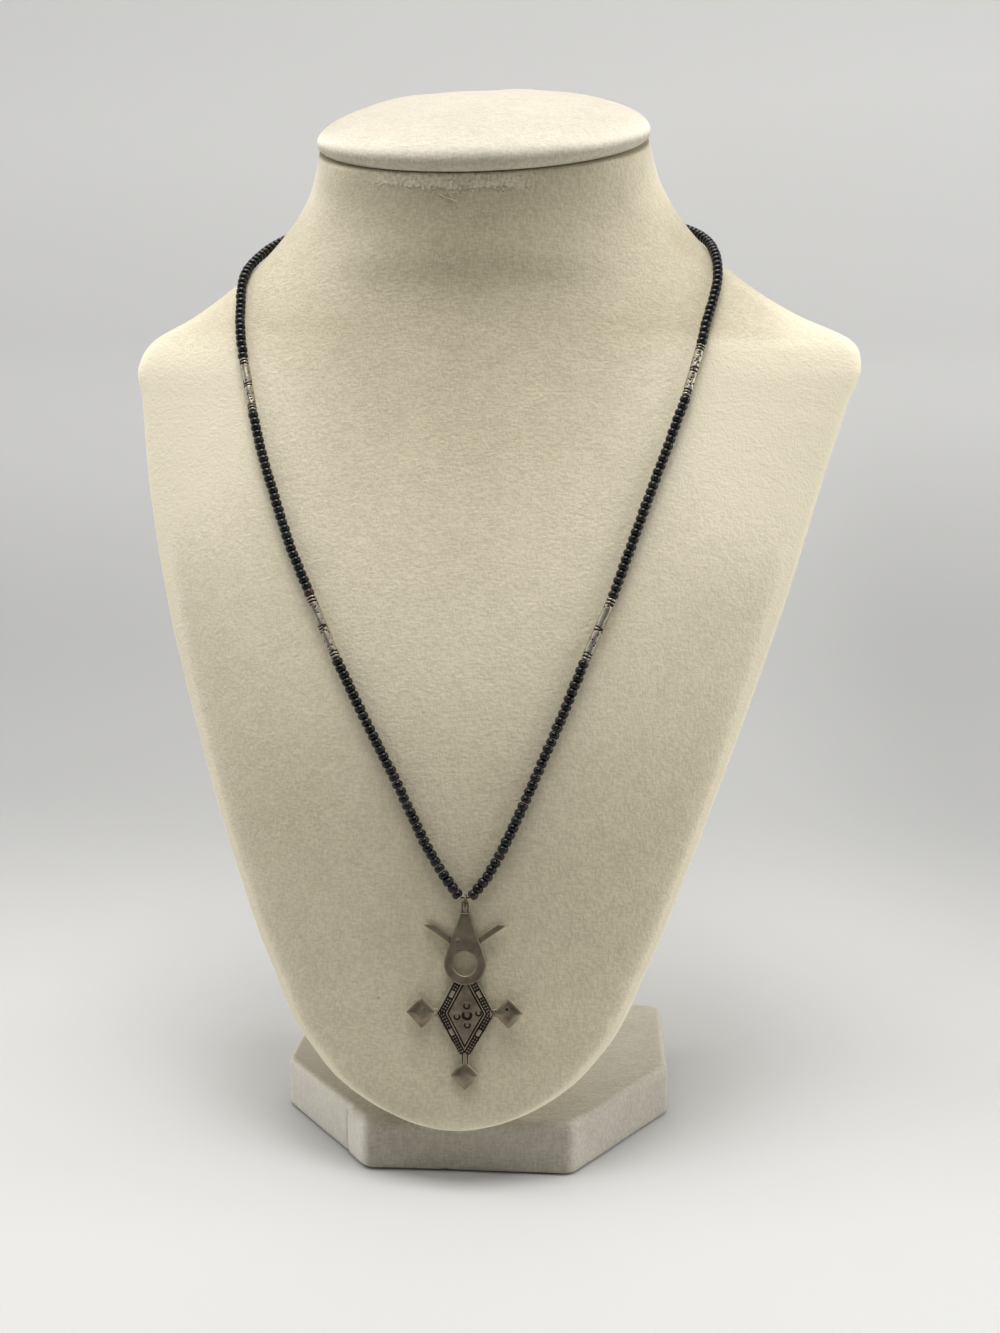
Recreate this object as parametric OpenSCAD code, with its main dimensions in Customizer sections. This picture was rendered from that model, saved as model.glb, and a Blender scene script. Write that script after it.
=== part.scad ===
/* [Base block] */
// Width of the base block, side to side
base_w = 123; // [110:1:140]
// Depth of the base block, front to back
base_d = 85; // [75:1:100]
// Height of the base block
base_h = 17; // [14:0.5:17]
// Length of the base's front edge between the cut corners
base_front_w = 57; // [40:1:90]
// How far back the cut corners run
base_corner_d = 35; // [10:1:50]
// Quarter turn error of the block under the form, in degrees
base_turn = 1; // [-4:0.5:4]
// Rounding of the block's upright corners
base_round = 5.5; // [1:0.5:6]

/* [Padded cap] */
// Height of the padding at its middle
cap_h = 13; // [8:0.5:16]
// How far the cap overhangs the neck
cap_overhang = 0.7; // [0:0.1:2]
// Sideways lean of the cap and the neck's top, in degrees
neck_roll = 1; // [-2:0.5:2]

/* [Strand] */
// Diameter of the glass beads
bead_d = 3.05; // [2.5:0.05:3.2]
// Clear space between the strand and the velvet
bead_gap = 0.35; // [0.3:0.05:0.6]
// Diameter of the thread
thread_d = 0.5; // [0.3:0.1:0.5]
// Diameter of the silver tube beads
tube_d = 3; // [2.2:0.1:3.1]
// Diameter of the bore through a tube bead
tube_bore = 1.2; // [0.8:0.1:1.4]
// Depth of the rings engraved round a tube bead
tube_groove = 0.15; // [0.1:0.05:0.25]

/* [Cross] */
// Thickness of the teardrop plate
drop_t = 1.6; // [1.2:0.1:2]
// Thickness of the diamond plate and of the wings
diamond_t = 1.3; // [1:0.1:1.6]
// Diameter of the round hole in the teardrop
hole_d = 7; // [5:0.1:8]
// Outer diameter of the teardrop's round end
drop_d = 12.4; // [11:0.1:14]
// Half the diagonal of the three small lozenges
lozenge_r = 4.3; // [3.5:0.1:5]
// Diameter of the wire of the soldered loop
loop_wire = 0.6; // [0.4:0.1:0.6]
// Diameter of the wire of the jump ring
ring_wire = 0.5; // [0.4:0.1:0.5]

/* [Hidden] */

velvet = [0.87, 0.83, 0.72];
black_glass = [0.09, 0.08, 0.08];
worn_silver = [0.62, 0.58, 0.52];
dark_silver = [0.42, 0.38, 0.34];
cotton = [0.2, 0.18, 0.16];

// The velvet form is a stack of level outlines. Each is a lens whose front and back arcs bulge from
// a line across the form, made fuller by the radius of its edge, then tilted about that line.
LEVEL = 0;   // height of the outline
CENTRE = 1;  // sideways place of its middle
HALF = 2;    // half its width
RIM = 3;     // how far back its widest line lies
FRONT = 4;   // how far its front stands before that line
BACK = 5;    // how far its back lies behind that line
EDGE = 6;    // radius of its edge
TILT = 7;    // forward tilt in degrees
form_rows = [
    [ 17.3, -4.5,  11.0, -74.5,  4.5, 34, 2.0, 0],
    [ 18.2, -4.5,  14.3, -74.5,  5.8, 34, 2.0, 0],
    [ 20.5, -4.5,  20.9, -73.5,  6.8, 35, 2.0, 0],
    [ 26.0, -4.8,  32.0, -70.5,  9.0, 34, 2.2, 0],
    [ 37.0, -5.0,  44.5, -65.0, 11.5, 32, 2.5, 0],
    [ 60.0, -5.5,  58.0, -56.0, 15.0, 29, 2.5, 0],
    [ 90.0, -5.8,  71.0, -45.0, 20.0, 28, 2.5, 0],
    [130.0, -5.5,  86.5, -29.0, 25.5, 28, 3.0, 0],
    [170.0, -4.5, 100.0, -14.0, 26.0, 27, 3.5, 0],
    [205.0, -3.0, 110.0,   1.0, 24.0, 26, 4.5, 0],
    [228.0, -1.0, 116.0,  11.0, 22.0, 25, 5.5, 0],
    [240.0,  0.0, 119.5,  17.0, 22.0, 25, 6.5, 0],
    [248.0,  0.5, 116.0,  22.0, 23.5, 25, 8.0, 1],
    [256.0, -1.5, 101.5,  28.0, 26.5, 27, 10, 2],
    [265.0, -3.0,  88.5,  33.0, 29.0, 30, 13, 4],
    [281.0, -4.5,  71.5,  39.0, 34.0, 35.6, 20, 11],
    [298.0, -5.0,  60.0,  42.0, 36.0, 39.2, 27, 18],
    [313.0, -5.5,  55.5,  42.0, 36.0, 40.2, 30, 22.4]];
front_power = 2.2;
back_power = 2.6;
roll_from = 265;
last_row = len(form_rows) - 1;
top_level = form_rows[last_row][LEVEL];

// Smooth columns between the rows: a cubic through each pair with slopes taken from its neighbours
function span_slope(i) =
    (form_rows[i + 1] - form_rows[i]) / (form_rows[i + 1][LEVEL] - form_rows[i][LEVEL]);
function span_height(i) = form_rows[i + 1][LEVEL] - form_rows[i][LEVEL];
function row_slope(i) =
    i == 0 ? span_slope(0) :
    i == last_row ? span_slope(last_row - 1) :
    (span_slope(i - 1) * span_height(i) + span_slope(i) * span_height(i - 1))
        / (span_height(i) + span_height(i - 1));
function span_of(level, i = 0) =
    i >= last_row - 1 || level < form_rows[i + 1][LEVEL] ? i : span_of(level, i + 1);
function blend(a, b, slope_a, slope_b, h, t) =
    (2 * pow(t, 3) - 3 * pow(t, 2) + 1) * a + (pow(t, 3) - 2 * pow(t, 2) + t) * h * slope_a
    + (3 * pow(t, 2) - 2 * pow(t, 3)) * b + (pow(t, 3) - pow(t, 2)) * h * slope_b;
function row_at(level) =
    let (i = span_of(level), h = span_height(i), t = (level - form_rows[i][LEVEL]) / h)
    blend(form_rows[i], form_rows[i + 1], row_slope(i), row_slope(i + 1), h, t);

// One outline: its lens, the angles at which the arcs meet the round edge, and that edge's length
function lens_half(r) = r[HALF] - r[EDGE];
function front_depth(r) = r[FRONT] - r[EDGE];
function back_depth(r) = r[BACK] - r[EDGE];
function front_end(r) = atan(front_power * front_depth(r) / lens_half(r));
function back_end(r) = atan(back_power * back_depth(r) / lens_half(r));
function edge_length(r) = r[EDGE] * (180 - front_end(r) - back_end(r)) * PI / 180;
function half_outline(r) = 2 * lens_half(r) + edge_length(r);
function on_front(r, s) =
    let (w = lens_half(r), d = front_depth(r), u = s / w,
        f = atan(front_power * d * pow(u, front_power - 1) / w))
    [s + r[EDGE] * sin(f), -d * (1 - pow(u, front_power)) - r[EDGE] * cos(f)];
function on_edge(r, s) =
    let (w = lens_half(r), f = front_end(r) + (s - w) / r[EDGE] * 180 / PI)
    [w + r[EDGE] * sin(f), -r[EDGE] * cos(f)];
function on_back(r, s) =
    let (w = lens_half(r), d = back_depth(r), u = max(0, half_outline(r) - s) / w,
        f = 180 - atan(back_power * d * pow(u, back_power - 1) / w))
    [u * w + r[EDGE] * sin(f), d * (1 - pow(u, back_power)) - r[EDGE] * cos(f)];
function outline_point(r, s) =
    s <= lens_half(r) ? on_front(r, s) :
    s <= lens_half(r) + edge_length(r) ? on_edge(r, s) : on_back(r, s);
function roll_at(level) = neck_roll * max(0, level - roll_from) / (top_level - roll_from);
// Point of an outline at a distance s from its front middle, to the right where s is above 0
function form_point(r, s) =
    let (p = outline_point(r, abs(s)), side = s < 0 ? -1 : 1, x = side * p[0])
    [r[CENTRE] + x, r[RIM] + p[1] * cos(r[TILT]),
        r[LEVEL] + p[1] * sin(r[TILT]) + x * tan(roll_at(r[LEVEL]))];
// Point of the form at a level, turn degrees round it: 0 is the front middle, 180 the back middle
function form_at(level, turn) =
    let (r = row_at(level))
    form_point(r, turn / 180 * half_outline(r));
function unit(v) = v / norm(v);
probe = 0.2;
function form_normal(level, turn) =
    unit(cross(form_at(level, turn + probe) - form_at(level, turn - probe),
        form_at(level + probe, turn) - form_at(level - probe, turn)));

// Stations of the form's mesh, more of them where the outline bends most
front_steps = 11;
edge_steps = 4;
back_steps = 8;
level_step = 7;
half_steps = front_steps + edge_steps + back_steps;
function station(r, k) =
    let (w = lens_half(r), e = edge_length(r))
    k <= front_steps ? w * k / front_steps :
    k <= front_steps + edge_steps ? w + e * (k - front_steps) / edge_steps :
    w + e + w * (k - front_steps - edge_steps) / back_steps;
form_levels = [
    for (i = [0:last_row - 1])
        let (n = ceil(span_height(i) / level_step))
        for (k = [0:n - 1]) form_rows[i][LEVEL] + span_height(i) * k / n,
    top_level];
function outline_at(level) =
    let (r = row_at(level))
    [for (k = [0:half_steps]) form_point(r, station(r, k)),
        for (k = [half_steps - 1:-1:1]) form_point(r, -station(r, k))];

// A stack of rings of points, each ring in the same order, closed at both ends
module stacked(rings) {
    n = len(rings[0]);
    last = len(rings) - 1;
    walls = [
        for (i = [0:last - 1])
            for (k = [0:n - 1])
                let (a = i * n + k, b = i * n + (k + 1) % n)
                each [[a, a + n, b + n], [a, b + n, b]]];
    ends = [[for (k = [0:n - 1]) k], [for (k = [n - 1:-1:0]) last * n + k]];
    polyhedron([for (ring = rings) each ring], concat(walls, ends));
}

// Cap: rings of its oval, whose height falls from the middle to a rounded edge
top_row = form_rows[last_row];
cap_gap = 0.3;
cap_half_w = top_row[HALF] + cap_overhang;
cap_front = top_row[FRONT] + cap_overhang;
cap_back = top_row[BACK] + cap_overhang;
cap_sides = 36;
cap_fullness = 3;
cap_shares = [1, 0.99, 0.96, 0.9, 0.8, 0.65, 0.45, 0.2];
function cap_height(share) = cap_h * sqrt(1 - pow(share, cap_fullness));
function cap_ring(share) = [
    for (k = [0:cap_sides - 1])
        let (a = k * 360 / cap_sides, depth = sin(a) < 0 ? cap_front : cap_back)
        [cap_half_w * share * cos(a), depth * share * sin(a), cap_height(share)]];

// Strand: rows of [level, turn] chosen along the photographed line, lifted off the velvet
front_left_route = [[86, 3.45], [95, -4.8], [104, -10.8], [118, -18.2], [134, -26.5], [152.5, -35]];
chest_left_route = [[170, -41.5], [185, -46.8], [198, -50.2], [212, -53.8], [224.5, -56.2]];
back_left_route = [[241, -58.3], [249, -61.8], [258, -70], [267.5, -78], [273.5, -86], [279, -98.5],
    [283, -113], [285.4, -128.5], [286.6, -145], [287.5, -162], [288, -180]];
back_right_route = [[245.5, 48.8], [252.5, 54.8], [259, 63.2], [267.5, 72.5], [274.5, 81.5],
    [279.5, 95.5], [283, 112], [285.4, 128.5], [286.6, 145], [287.5, 162]];
chest_right_route = [[170.5, 39.2], [182, 41.2], [196, 43.4], [212, 45.6], [229.5, 47.4]];
front_right_route = [[86, 7.55], [93, 13.8], [103, 19.2], [116, 24.2], [134, 30], [153, 34.8]];
function reversed(list) = [for (i = [len(list) - 1:-1:0]) list[i]];
back_route = concat(back_left_route, reversed(back_right_route));
strand_lift = bead_d / 2 + bead_gap;
function lifted(q) = form_at(q[0], q[1]) + strand_lift * form_normal(q[0], q[1]);
function spline(a, b, c, d, t) =
    0.5 * (2 * b + (c - a) * t + (2 * a - 5 * b + 4 * c - d) * t * t
        + (3 * b - a - 3 * c + d) * t * t * t);
// Smooth line through a list of points, with a number of steps between each two
function smooth_line(p, steps) =
    let (n = len(p), ends = concat([2 * p[0] - p[1]], p, [2 * p[n - 1] - p[n - 2]]))
    concat([for (i = [0:n - 2]) for (k = [0:steps - 1])
        spline(ends[i], ends[i + 1], ends[i + 2], ends[i + 3], k / steps)], [p[n - 1]]);
function direction(p, i) = unit(p[min(i + 1, len(p) - 1)] - p[max(i - 1, 0)]);
strand_sides = 8;
function strand_ring(centre, along, out) =
    let (across = unit(cross(along, out)), up = cross(across, along))
    [for (k = [0:strand_sides - 1])
        let (a = (k + 0.5) * 360 / strand_sides)
        centre + bead_d / 2 * (cos(a) * up + sin(a) * across)];

// Cross: it leans against the chest, which it meets low down and at its top
rest_low = 31;
rest_high = 82;
cross_gap = 0.35;
cross_x = -1.2;
cross_level = 67;
hang_turn = 1;
rest_foot = form_at(rest_low, 2);
rest_head = form_at(rest_high, 2);
cross_lean = atan((rest_head[1] - rest_foot[1]) / (rest_head[2] - rest_foot[2]));
cross_y = rest_foot[1] + (cross_level - rest_low) * tan(cross_lean) - cross_gap / cos(cross_lean);
drop_r = drop_d / 2;
drop_top = 15;
drop_top_half = 1.2;
diamond_top = -5.8;
diamond_top_half = 3.9;
diamond_side = 8.2;
diamond_side_y = [-13.8, -16.2];
diamond_foot = -27;
diamond_foot_half = 1.3;
lozenge_x = 12.8;
lozenge_y = -14.4;
foot_lozenge_y = -32.8;
lozenge_rise = 0.5;
neck_half = 1.2;
loop_half = 0.85;
loop_top = 18.3;
ring_r = 1.8;
ring_place = [0.15, 18.65, 1.9];
wing_low = [4.3, 6.9];
wing_high = [10.9, 11.4];

module base_block() {
    half_w = base_w / 2 - base_round;
    half_d = base_d / 2 - base_round;
    half_front = base_front_w / 2;
    corners = [[-half_front, -half_d], [half_front, -half_d], [half_w, base_corner_d - half_d],
        [half_w, half_d], [-half_w, half_d], [-half_w, base_corner_d - half_d]];
    color(velvet)
    translate([-0.5, -30.5, 0])
    rotate([0, 0, base_turn])
    linear_extrude(base_h)
    offset(r = base_round, $fn = 32)
    polygon(corners);
}

module torso() {
    color(velvet)
    stacked([for (level = form_levels) outline_at(level)]);
}

module neck_cap() {
    color(velvet)
    translate([top_row[CENTRE], top_row[RIM], top_row[LEVEL]])
    rotate([top_row[TILT], -neck_roll, 0])
    translate([0, 0, cap_gap])
    stacked([for (share = cap_shares) cap_ring(share)]);
}

module strand(route, steps) {
    centres = smooth_line([for (q = route) lifted(q)], steps);
    outward = smooth_line([for (q = route) form_normal(q[0], q[1])], steps);
    color(black_glass)
    stacked([for (i = [0:len(centres) - 1]) strand_ring(centres[i], direction(centres, i), outward[i])]);
}

// A silver tube bead between the ends of two stretches of beads, with three pairs of rings
module tube_bead(from_point, to_point) {
    span = to_point - from_point;
    reach = norm(span);
    end_gap = 0.3;
    length = reach - 2 * end_gap;
    ring_gap = 0.7;
    groove_w = 0.3;
    color(worn_silver)
    translate(from_point)
    rotate([0, acos(span[2] / reach), atan2(span[1], span[0])])
    translate([0, 0, end_gap])
    difference() {
        cylinder(h = length, d = tube_d, $fn = 48);
        translate([0, 0, -1]) cylinder(h = length + 2, d = tube_bore, $fn = 32);
        for (share = [0.1, 0.5, 0.9], side = [-0.5, 0.5])
            translate([0, 0, share * length + side * ring_gap])
            rotate_extrude($fn = 48)
            translate([tube_d / 2 - tube_groove, -groove_w / 2])
            square([1, groove_w]);
    }
}

module thread() {
    end_gap = 0.9;
    from_point = lifted(front_left_route[0]);
    to_point = lifted(front_right_route[0]);
    span = to_point - from_point;
    reach = norm(span);
    color(cotton)
    translate(from_point)
    rotate([0, acos(span[2] / reach), atan2(span[1], span[0])])
    translate([0, 0, end_gap])
    cylinder(h = reach - 2 * end_gap, d = thread_d, $fn = 24);
}

module against_chest() {
    translate([cross_x, cross_y, cross_level])
    rotate([90 - cross_lean, 0, 0])
    rotate([0, 0, hang_turn])
    children();
}

module jump_ring() {
    color(dark_silver)
    against_chest()
    translate(ring_place)
    rotate([0, 90, 0])
    rotate_extrude($fn = 64)
    translate([ring_r, 0])
    circle(d = ring_wire, $fn = 24);
}

// Half a wire arch on two legs, soldered into the teardrop's top
module wire_loop() {
    arch_y = loop_top - loop_half;
    translate([0, arch_y, drop_t / 2])
    rotate_extrude(angle = 180, $fn = 48)
    translate([loop_half, 0])
    circle(d = loop_wire, $fn = 24);
    for (side = [-1, 1])
        translate([side * loop_half, drop_top - 0.5, drop_t / 2])
        rotate([-90, 0, 0])
        cylinder(h = arch_y - drop_top + 0.5, d = loop_wire, $fn = 24);
}

module teardrop() {
    reach = norm([drop_top_half, drop_top]);
    meet = atan2(drop_top, drop_top_half) - acos(drop_r / reach);
    // the straight sides run on to just inside the circle
    side = (drop_r - 0.05) * [cos(meet), sin(meet)];
    linear_extrude(drop_t) {
        circle(r = drop_r, $fn = 96);
        polygon([[-drop_top_half, drop_top], [-side[0], side[1]], [0, 0], [side[0], side[1]],
            [drop_top_half, drop_top]]);
    }
}

module diamond() {
    linear_extrude(diamond_t)
    polygon([[-diamond_top_half, diamond_top], [-diamond_side, diamond_side_y[0]],
        [-diamond_side, diamond_side_y[1]], [-5.5, -20], [-2.9, -24.2],
        [-diamond_foot_half, diamond_foot], [-neck_half, foot_lozenge_y], [neck_half, foot_lozenge_y],
        [diamond_foot_half, diamond_foot], [2.9, -24.2], [5.5, -20],
        [diamond_side, diamond_side_y[1]], [diamond_side, diamond_side_y[0]],
        [diamond_top_half, diamond_top]]);
}

// A square plate standing on its corner, with four faces rising to a low point
module lozenge(x, y) {
    rim = [for (k = [0:3]) [lozenge_r * cos(90 * k), lozenge_r * sin(90 * k)]];
    points = concat([for (p = rim) [p[0], p[1], 0]], [for (p = rim) [p[0], p[1], diamond_t - 0.1]],
        [[0, 0, diamond_t + lozenge_rise]]);
    walls = [for (k = [0:3]) [k, k + 4, (k + 1) % 4 + 4, (k + 1) % 4]];
    slopes = [for (k = [0:3]) [k + 4, 8, (k + 1) % 4 + 4]];
    translate([x, y, 0])
    polyhedron(points, concat([[0, 1, 2, 3]], walls, slopes));
}

module wing(side, width) {
    run = wing_high - wing_low;
    across = unit([-run[1], run[0]]) * width / 2;
    start = wing_low - run * 0.2;
    linear_extrude(diamond_t)
    polygon([for (p = [start - across, wing_high - across + [0.6, 0], wing_high + across - [0.6, 0],
        start + across]) [side * p[0], p[1]]]);
}

module cross_pendant() {
    color(dark_silver)
    against_chest()
    difference() {
        union() {
            teardrop();
            diamond();
            wing(-1, 1.9);
            wing(1, 1.6);
            lozenge(-lozenge_x, lozenge_y);
            lozenge(lozenge_x, lozenge_y);
            lozenge(0, foot_lozenge_y);
            translate([-lozenge_x, lozenge_y - neck_half, 0])
            cube([2 * lozenge_x, 2 * neck_half, diamond_t - 0.2]);
            wire_loop();
        }
        translate([0, 0, -1])
        cylinder(h = drop_t + 2, d = hole_d, $fn = 96);
    }
}

low_left = [lifted(front_left_route[5]), lifted(chest_left_route[0])];
high_left = [lifted(chest_left_route[4]), lifted(back_left_route[0])];
low_right = [lifted(front_right_route[5]), lifted(chest_right_route[0])];
high_right = [lifted(chest_right_route[4]), lifted(back_right_route[0])];

base_block();
torso();
neck_cap();
strand(front_left_route, 2);  // beads_front_left
tube_bead(low_left[0], low_left[1]);  // tube_low_left
strand(chest_left_route, 2);  // beads_chest_left
tube_bead(high_left[0], high_left[1]);  // tube_high_left
strand(back_route, 2);  // beads_back
tube_bead(high_right[0], high_right[1]);  // tube_high_right
strand(chest_right_route, 2);  // beads_chest_right
tube_bead(low_right[0], low_right[1]);  // tube_low_right
strand(front_right_route, 2);  // beads_front_right
thread();
jump_ring();
cross_pendant();
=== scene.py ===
"""Tuareg cross pendant necklace on a velvet neck bust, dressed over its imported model.

Lengths are in millimetres until a mesh is made. +X is to the right, +Y to the back, +Z up.
"""

import math

import bpy
import numpy as np
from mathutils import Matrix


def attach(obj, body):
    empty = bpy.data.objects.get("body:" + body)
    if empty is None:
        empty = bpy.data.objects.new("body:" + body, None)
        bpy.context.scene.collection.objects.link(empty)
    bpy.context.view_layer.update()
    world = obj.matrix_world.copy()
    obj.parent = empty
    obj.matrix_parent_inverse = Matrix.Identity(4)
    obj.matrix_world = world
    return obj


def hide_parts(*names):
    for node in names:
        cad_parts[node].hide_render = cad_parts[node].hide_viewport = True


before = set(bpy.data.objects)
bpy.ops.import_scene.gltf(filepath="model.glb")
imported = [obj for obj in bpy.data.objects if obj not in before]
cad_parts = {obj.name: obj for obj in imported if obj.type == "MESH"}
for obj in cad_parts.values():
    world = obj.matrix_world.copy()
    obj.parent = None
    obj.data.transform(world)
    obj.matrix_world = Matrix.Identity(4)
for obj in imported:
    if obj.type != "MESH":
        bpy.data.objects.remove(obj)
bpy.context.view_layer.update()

# CAMERA
# It stands a little to the right of the bust's front, above the cross, and looks down at it.
# Its place, turn and dip were solved from the photograph's straight edges and known sizes.
MM = 0.001
PHOTO_HEIGHT = 1333
FOCAL_PIXELS = 1400
SENSOR = 36.0
view_turn = math.radians(4.5)
view_dip = math.radians(12.0)
camera_place = (39.3, -454.8, 238.7)

lens = bpy.data.cameras.new("camera")
lens.sensor_width = SENSOR
lens.lens = FOCAL_PIXELS / PHOTO_HEIGHT * SENSOR
lens.clip_start = 0.01
lens.clip_end = 20.0
camera = bpy.data.objects.new("camera", lens)
camera.location = [c * MM for c in camera_place]
camera.rotation_euler = (math.pi / 2 - view_dip, 0.0, view_turn)
bpy.context.scene.collection.objects.link(camera)
bpy.context.scene.camera = camera
bpy.context.scene.view_settings.view_transform = "Standard"


# STAGE
# A seamless sheet of pale paper: a flat floor that curves up into a plain wall behind the bust.
# It is lit by a broad soft light overhead and weaker ones at the sides.
class Tone:
    """A number that varies over a surface. Operators on it add the Math nodes they stand for."""

    def __init__(self, finish, socket):
        self.finish, self.socket = finish, socket

    def math(self, operation, *values, clamp=False):
        settings = {"operation": operation, "use_clamp": clamp}
        return self.finish.node("ShaderNodeMath", settings, dict(enumerate(values)))

    def __add__(self, other):
        return self.math("ADD", self, other)

    def __sub__(self, other):
        return self.math("SUBTRACT", self, other)

    def __rsub__(self, other):
        return self.math("SUBTRACT", other, self)

    def __mul__(self, other):
        return self.math("MULTIPLY", self, other)

    def __pow__(self, other):
        return self.math("POWER", self, other)

    __radd__ = __add__
    __rmul__ = __mul__

    def clipped(self):
        return self.math("ADD", self, 0.0, clamp=True)

    def most(self, other):
        return self.math("MAXIMUM", self, other)

    def ramp(self, low, high, start=0.0, end=1.0):
        """start where the tone is at or below low, end at or above high, and a smooth step between."""
        values = {"Value": self, "From Min": low, "From Max": high, "To Min": start, "To Max": end}
        return self.finish.node("ShaderNodeMapRange", {"interpolation_type": "SMOOTHSTEP"}, values)


class Finish:
    """One material in the making. Every node but a Math node comes from node()."""

    def __init__(self, name):
        self.material = bpy.data.materials.new(name)
        self.material.use_nodes = True
        self.tree = self.material.node_tree
        self.tree.nodes.clear()

    def node(self, kind, settings=None, values=None, output=0):
        """Adds a node: its settings are set first, then each socket gets its value or its link."""
        made = self.tree.nodes.new(kind)
        for key, value in (settings or {}).items():
            setattr(made, key, value)
        for key, value in (values or {}).items():
            if isinstance(value, Tone):
                self.tree.links.new(value.socket, made.inputs[key])
            else:
                made.inputs[key].default_value = value
        return Tone(self, made.outputs[output]) if made.outputs else None

    def place(self):
        """Object coordinates, in metres."""
        return self.node("ShaderNodeTexCoord", output=3)

    def axes(self, vector):
        """The three numbers of a vector."""
        return [self.node("ShaderNodeSeparateXYZ", values={"Vector": vector}, output=k) for k in range(3)]

    def mark(self, name):
        """The number that each point of the mesh carries under a name."""
        return self.node("ShaderNodeAttribute", {"attribute_name": name}, output=2)

    def noise(self, place, scale, detail=2.0, roughness=0.5, distortion=0.0):
        values = {"Vector": place, "Scale": scale, "Detail": detail, "Roughness": roughness,
                  "Distortion": distortion}
        return self.node("ShaderNodeTexNoise", values=values)

    def mixed(self, share, first, second):
        """Colour first where share is 0 and second where it is 1."""
        first, second = [c if isinstance(c, Tone) else (*c, 1.0) for c in (first, second)]
        return self.node("ShaderNodeMix", {"data_type": "RGBA"}, {0: share, 6: first, 7: second}, output=2)

    def relief(self, *layers):
        """Normal of reliefs laid over each other, each a height in shares of a depth in metres."""
        under = {}
        for height, depth in layers:
            values = {"Height": height, "Distance": depth, "Strength": 1.0, **under}
            under = {"Normal": self.node("ShaderNodeBump", values=values)}
        return under["Normal"]

    def surface(self, values):
        """Ends the material with its Principled shader."""
        shader = self.node("ShaderNodeBsdfPrincipled", values=values)
        self.node("ShaderNodeOutputMaterial", {}, {"Surface": shader})
        return self.material


def mesh_piece(name, points, faces, finish):
    """A smooth mesh object from points in millimetres and lists of corner numbers."""
    mesh = bpy.data.meshes.new(name)
    mesh.from_pydata((np.asarray(points, float) * MM).tolist(), [], faces)
    mesh.shade_smooth()
    mesh.materials.append(finish)
    piece = bpy.data.objects.new(name, mesh)
    bpy.context.scene.collection.objects.link(piece)
    return piece


def marked(piece, **marks):
    """Stores values for each point of a mesh, by name."""
    for name, values in marks.items():
        mark = piece.data.attributes.new(name, "FLOAT", "POINT")
        mark.data.foreach_set("value", np.asarray(values, np.float32))


def quads(rows, columns, wrap=True, loop=False):
    """Corner numbers of a grid stored row by row. Wrapped, its last column meets its first, and
    looped, its last row meets its first."""
    i = np.arange(rows if loop else rows - 1)[:, None]
    j = np.arange(columns if wrap else columns - 1)[None, :]
    low, high, after = i * columns, (i + 1) % rows * columns, (j + 1) % columns
    return np.stack([low + j, low + after, high + after, high + j], -1).reshape(-1, 4)


paper_half_width = 2500.0
paper_front = -1500.0
paper_turn = 330.0
paper_radius = 260.0
paper_top = 2200.0
paper_colour = (0.63, 0.63, 0.625)


def paper_profile(steps):
    """Floor, quarter circle and wall as rows of (depth, height)."""
    bend = np.linspace(0, math.pi / 2, steps)
    curve = np.stack([paper_turn + paper_radius * np.sin(bend), paper_radius * (1 - np.cos(bend))], -1)
    return np.concatenate([[[paper_front, 0.0]], curve, [[paper_turn + paper_radius, paper_top]]])


profile = paper_profile(24)
sheet = np.column_stack([np.tile([-paper_half_width, paper_half_width], len(profile)),
                         np.repeat(profile, 2, 0)])
paper = Finish("pale_paper")
paper_side, paper_depth, paper_level = paper.axes(paper.place())
# painted light and shade on the one paper: lighter on the floor in front, darker towards the wall, lighter
# up the wall and a little darker near its top, lighter to the right, and darker low on the right
paper_painted_light = (paper_depth.ramp(-0.14, 0.30, 1.0, 0.66) + paper_level.ramp(0.03, 0.26, 0.0, 0.33)
               - paper_level.ramp(0.38, 0.52, 0.0, 0.10) + paper_side.ramp(-0.45, 0.45, -0.02, 0.05)
               - paper_side.ramp(0.10, 0.26, 0.0, 0.10) * paper_level.ramp(0.14, 0.28, 1.0, 0.0))
pale_paper = paper.surface({"Base Color": paper.mixed(paper_painted_light, (0.0, 0.0, 0.0), paper_colour),
                            "Roughness": 0.9, "Specular IOR Level": 0.15})
sheet_faces = quads(len(profile), 2, wrap=False).tolist()
mesh_piece("paper_sweep", sheet, sheet_faces, pale_paper)

# name, place, point it faces, width, height, power in watts, colour
lamps = [
    ("back_top", (0, 450, 1400), (0, 0, 100), 1400, 900, 12.0, (1.0, 0.99, 0.97)),
    ("front_top", (0, -700, 1300), (0, 0, 150), 1200, 900, 2.0, (1.0, 0.99, 0.97)),
    ("overhead", (0, -100, 1300), (0, 0, 100), 500, 500, 7.8, (1.0, 0.99, 0.97)),
    ("left_top", (-600, 0, 1150), (0, 0, 150), 500, 1100, 3.4, (1.0, 1.0, 1.0)),
    ("left_side", (-900, 0, 450), (0, 0, 200), 700, 700, 2.3, (1.0, 1.0, 1.0)),
    ("right_side", (900, 0, 450), (0, 0, 200), 700, 700, 4.5, (1.0, 1.0, 1.0)),
]
for name, place, aim, width, height, power, colour in lamps:
    lamp = bpy.data.lights.new(name, "AREA")
    lamp.shape = "RECTANGLE"
    lamp.size, lamp.size_y = width * MM, height * MM
    lamp.energy = power
    lamp.color = colour
    holder = bpy.data.objects.new(name, lamp)
    toward = np.array(aim, float) - np.array(place, float)
    holder.location = [c * MM for c in place]
    holder.rotation_euler = (math.atan2(math.hypot(toward[0], toward[1]), -toward[2]), 0.0,
                             math.atan2(-toward[0], toward[1]))
    bpy.context.scene.collection.objects.link(holder)

room_light = 0.05
room = bpy.data.worlds.new("room")
room.use_nodes = True
room.node_tree.nodes["Background"].inputs["Color"].default_value = (1.0, 1.0, 1.0, 1.0)
room.node_tree.nodes["Background"].inputs["Strength"].default_value = room_light
bpy.context.scene.world = room


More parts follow.
